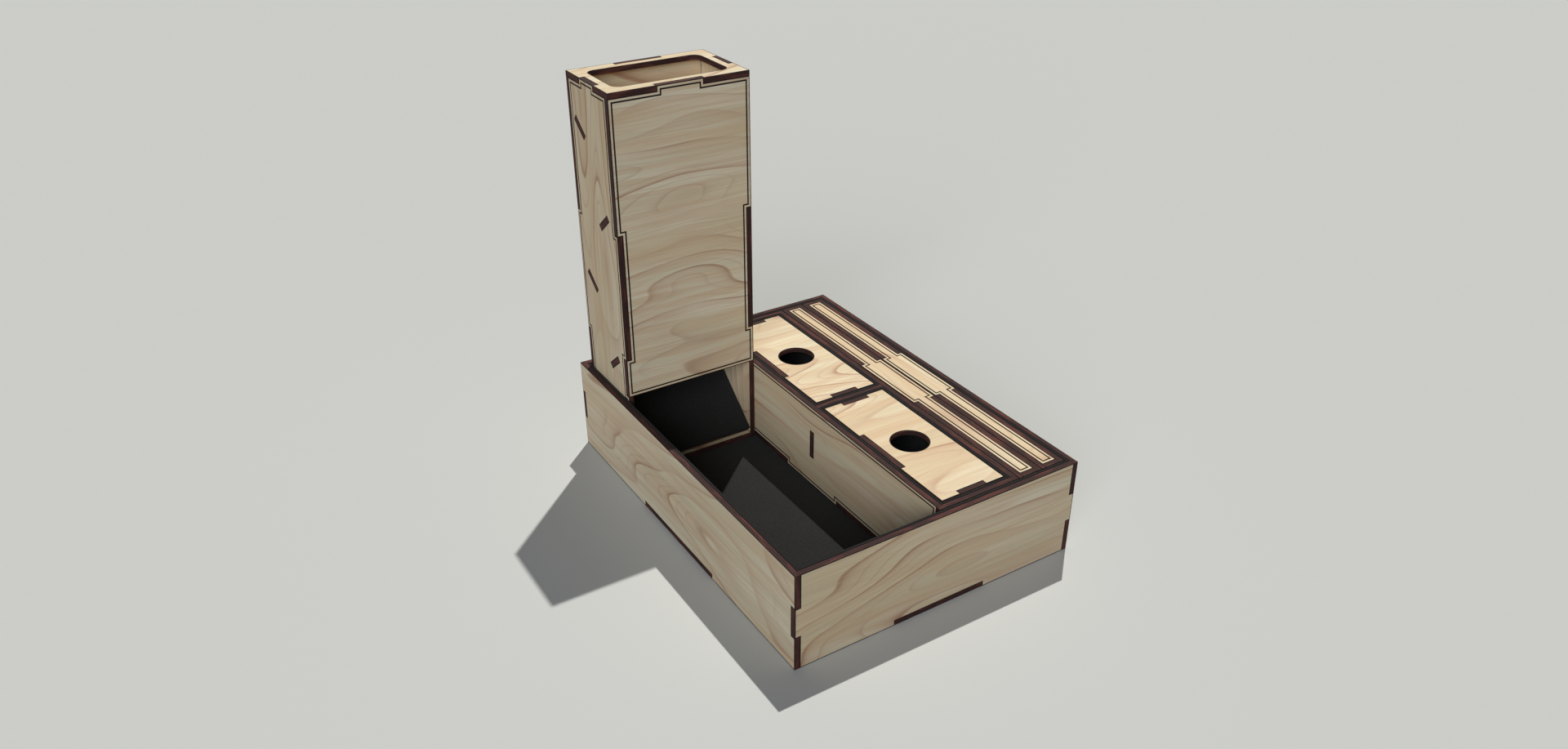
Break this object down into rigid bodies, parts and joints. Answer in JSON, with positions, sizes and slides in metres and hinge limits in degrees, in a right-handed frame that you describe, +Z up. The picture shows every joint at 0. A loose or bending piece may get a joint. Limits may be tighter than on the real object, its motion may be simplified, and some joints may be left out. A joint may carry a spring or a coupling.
{
  "type": "dice storage chest",
  "caption": "Open finger-jointed wooden chest with a felt-lined rolling tray, a lift-out dice tower, a cabinet of drawers and slim lift-out cases for dice and small game pieces.",
  "frame": {"origin": "middle of the chest's underside, on the surface that it stands on", "axes": "+X from the rolling tray to the slim cases, +Y from the open front of the tray to the tower, +Z up"},
  "size_m": [0.18, 0.244, 0.2387],
  "materials": {
    "plywood": "bare birch plywood with laser-browned edges",
    "felt": "black felt"
  },
  "bodies": {
    "chest": {"chest_floor": "plywood", "chest_front_wall": "plywood", "chest_back_wall": "plywood", "chest_left_wall": "plywood", "chest_right_wall": "plywood", "floor_felt": "felt", "front_wall_felt": "felt", "back_wall_felt": "felt", "left_wall_felt": "felt", "right_wall_felt": "felt"},
    "tower": {"tower_base": "plywood", "tower_front_panel": "plywood", "tower_back_panel": "plywood", "tower_left_panel": "plywood", "tower_right_panel": "plywood", "tower_top_plate": "plywood", "lower_front_baffle": "plywood", "lower_back_baffle": "plywood", "upper_front_baffle": "plywood", "upper_back_baffle": "plywood", "exit_ramp": "plywood", "exit_ramp_felt": "felt"},
    "cabinet": {"cabinet_floor": "plywood", "cabinet_front_plate": "plywood", "cabinet_back_plate": "plywood", "cabinet_left_plate": "plywood", "cabinet_right_plate": "plywood", "cabinet_divider": "plywood", "front_bay_left_felt": "felt", "front_bay_right_felt": "felt", "front_bay_front_felt": "felt", "front_bay_back_felt": "felt", "back_bay_left_felt": "felt", "back_bay_right_felt": "felt", "back_bay_front_felt": "felt", "back_bay_back_felt": "felt"},
    "front_drawer": {"front_drawer_face": "plywood", "front_drawer_bottom": "plywood", "front_drawer_front_wall": "plywood", "front_drawer_back_wall": "plywood", "front_drawer_rear": "plywood", "front_drawer_felt": "felt"},
    "back_drawer": {"back_drawer_face": "plywood", "back_drawer_bottom": "plywood", "back_drawer_front_wall": "plywood", "back_drawer_back_wall": "plywood", "back_drawer_rear": "plywood", "back_drawer_felt": "felt"},
    "inner_case": {"inner_case_left_plate": "plywood", "inner_case_right_plate": "plywood", "inner_case_top_strip": "plywood", "inner_case_bottom_strip": "plywood", "inner_case_front_end": "plywood", "inner_case_back_end": "plywood"},
    "outer_case": {"outer_case_left_plate": "plywood", "outer_case_right_plate": "plywood", "outer_case_top_strip": "plywood", "outer_case_bottom_strip": "plywood", "outer_case_front_end": "plywood", "outer_case_back_end": "plywood"}
  },
  "joints": [
    {"name": "tower_lift", "type": "slide", "parent": "chest", "child": "tower", "axis": [0, 0, 1], "range_m": [0, 0.06]},
    {"name": "cabinet_lift", "type": "slide", "parent": "chest", "child": "cabinet", "axis": [0, 0, 1], "range_m": [0, 0.06]},
    {"name": "front_drawer_slide", "type": "slide", "parent": "cabinet", "child": "front_drawer", "axis": [0, 0, 1], "range_m": [0, 0.045]},
    {"name": "back_drawer_slide", "type": "slide", "parent": "cabinet", "child": "back_drawer", "axis": [0, 0, 1], "range_m": [0, 0.045]},
    {"name": "inner_case_lift", "type": "slide", "parent": "chest", "child": "inner_case", "axis": [0, 0, 1], "range_m": [0, 0.06]},
    {"name": "outer_case_lift", "type": "slide", "parent": "chest", "child": "outer_case", "axis": [0, 0, 1], "range_m": [0, 0.06]}
  ]
}
